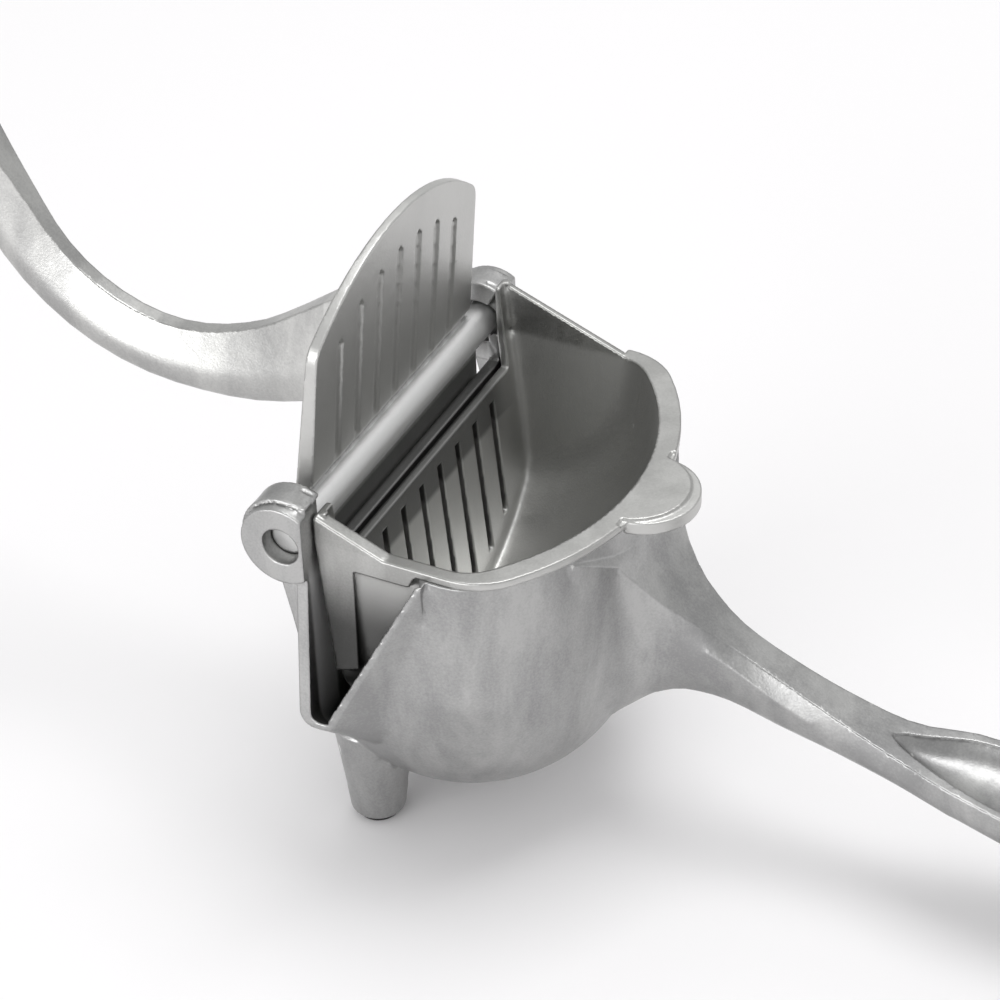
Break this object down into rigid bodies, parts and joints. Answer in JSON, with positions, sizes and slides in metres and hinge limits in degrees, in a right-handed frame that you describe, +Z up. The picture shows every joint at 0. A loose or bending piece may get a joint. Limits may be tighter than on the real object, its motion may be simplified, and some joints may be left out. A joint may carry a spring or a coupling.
{
  "type": "hinged citrus press",
  "caption": "Cast aluminium hand press for citrus: a pot with a side pouring spout and a handle, a lift-out strainer, and a hinged lever with a grooved press plate.",
  "frame": {"origin": "centre of the bounding box of the open press, on the table that it stands on", "axes": "+Z up; +X from the hinge towards the end of the pot's handle; the hinge axis runs along Y and the spout is on the -Y side"},
  "size_m": [0.404, 0.096, 0.2468],
  "materials": {
    "pot_casting": "tumbled casting, satin",
    "strainer_casting": "tumbled casting, satin",
    "press_casting": "tumbled casting, satin",
    "foot_rubber": "matt black"
  },
  "bodies": {
    "pot_body": {"pot": "pot_casting", "strainer": "strainer_casting", "foot_pad_spout": "foot_rubber", "foot_pad_rear": "foot_rubber"},
    "press_body": {"press": "press_casting"}
  },
  "joints": [
    {"name": "press_hinge", "type": "hinge", "parent": "pot_body", "child": "press_body", "pos_m": [-0.03402, 0.001, 0.0818], "axis": [0, 1, 0], "range_deg": [0, 130]}
  ]
}
